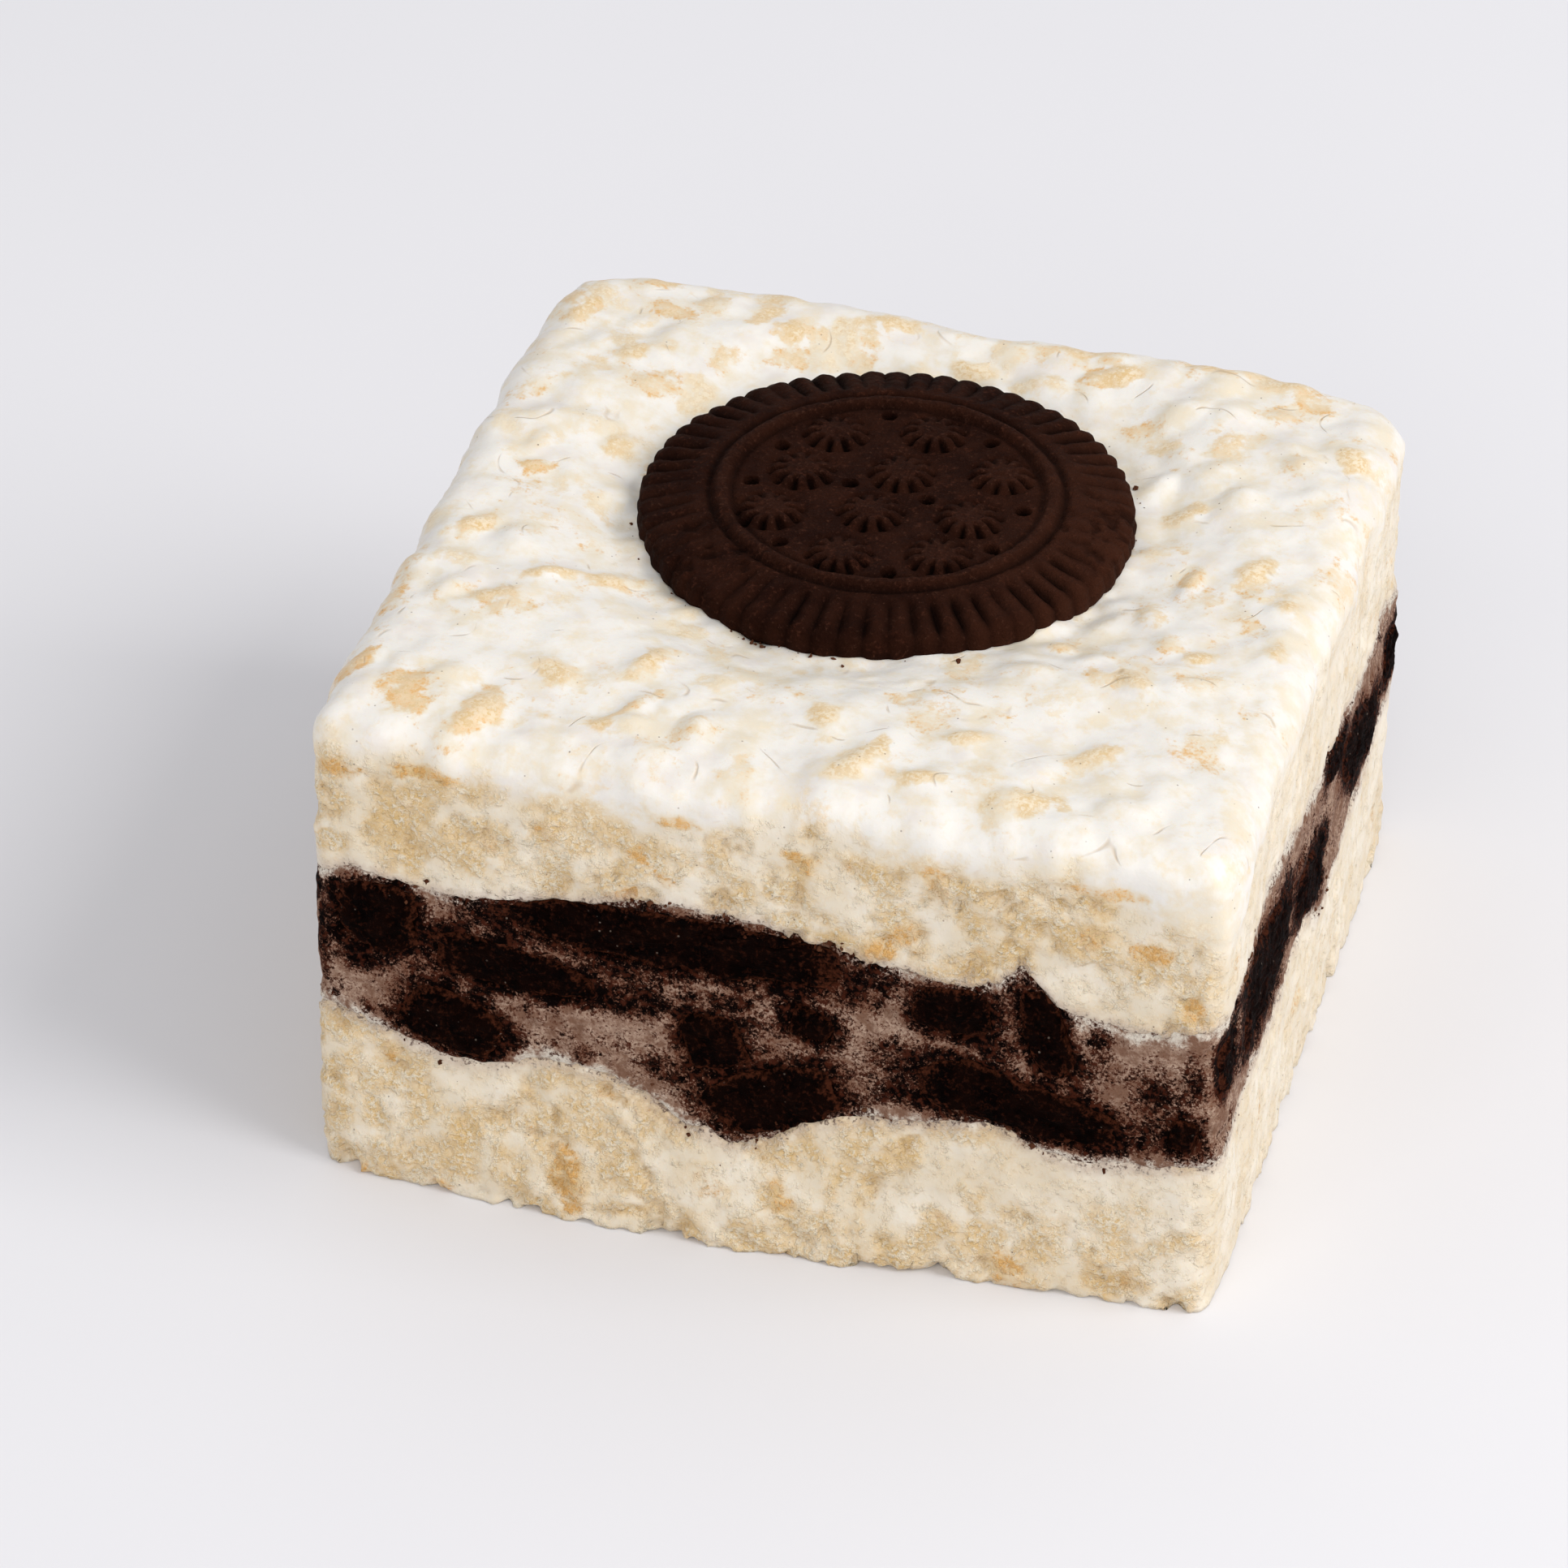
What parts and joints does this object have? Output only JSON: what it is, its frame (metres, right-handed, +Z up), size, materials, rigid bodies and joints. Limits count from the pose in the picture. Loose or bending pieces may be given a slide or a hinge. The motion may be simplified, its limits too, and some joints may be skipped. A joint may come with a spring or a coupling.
{
  "type": "crisped rice treat sandwich",
  "caption": "Square crisped rice and marshmallow sandwich with a biscuit and cream filling, broken dark biscuit pieces in it and an embossed round wafer on top",
  "frame": {"origin": "middle of the block's plan, on the surface that it rests on", "axes": "+Z up, -Y out of the front cut face, +X out of the right cut face"},
  "size_m": [0.083, 0.0844, 0.0504],
  "materials": {
    "crisp_and_marshmallow": "soft sheen over rough crumb",
    "biscuit_cream": "dull, speckled",
    "dark_biscuit": "dull and grainy"
  },
  "bodies": {
    "root": {"lower_crisp_layer": "crisp_and_marshmallow", "cream_filling": "biscuit_cream", "upper_crisp_layer": "crisp_and_marshmallow", "wafer": "dark_biscuit", "biscuit_front_1": "dark_biscuit", "biscuit_front_2": "dark_biscuit", "biscuit_front_3": "dark_biscuit", "biscuit_front_4": "dark_biscuit", "biscuit_front_5": "dark_biscuit", "biscuit_front_6": "dark_biscuit", "biscuit_front_7": "dark_biscuit", "biscuit_front_8": "dark_biscuit", "biscuit_front_9": "dark_biscuit", "biscuit_front_10": "dark_biscuit", "biscuit_front_11": "dark_biscuit", "biscuit_right_1": "dark_biscuit", "biscuit_right_2": "dark_biscuit", "biscuit_right_3": "dark_biscuit", "biscuit_right_4": "dark_biscuit", "biscuit_right_5": "dark_biscuit", "biscuit_right_6": "dark_biscuit", "biscuit_back_1": "dark_biscuit", "biscuit_back_2": "dark_biscuit", "biscuit_back_3": "dark_biscuit", "biscuit_back_4": "dark_biscuit", "biscuit_back_5": "dark_biscuit", "biscuit_back_6": "dark_biscuit", "biscuit_back_7": "dark_biscuit", "biscuit_left_1": "dark_biscuit", "biscuit_left_2": "dark_biscuit", "biscuit_left_3": "dark_biscuit", "biscuit_left_4": "dark_biscuit", "biscuit_left_5": "dark_biscuit", "biscuit_left_6": "dark_biscuit"}
  },
  "joints": []
}
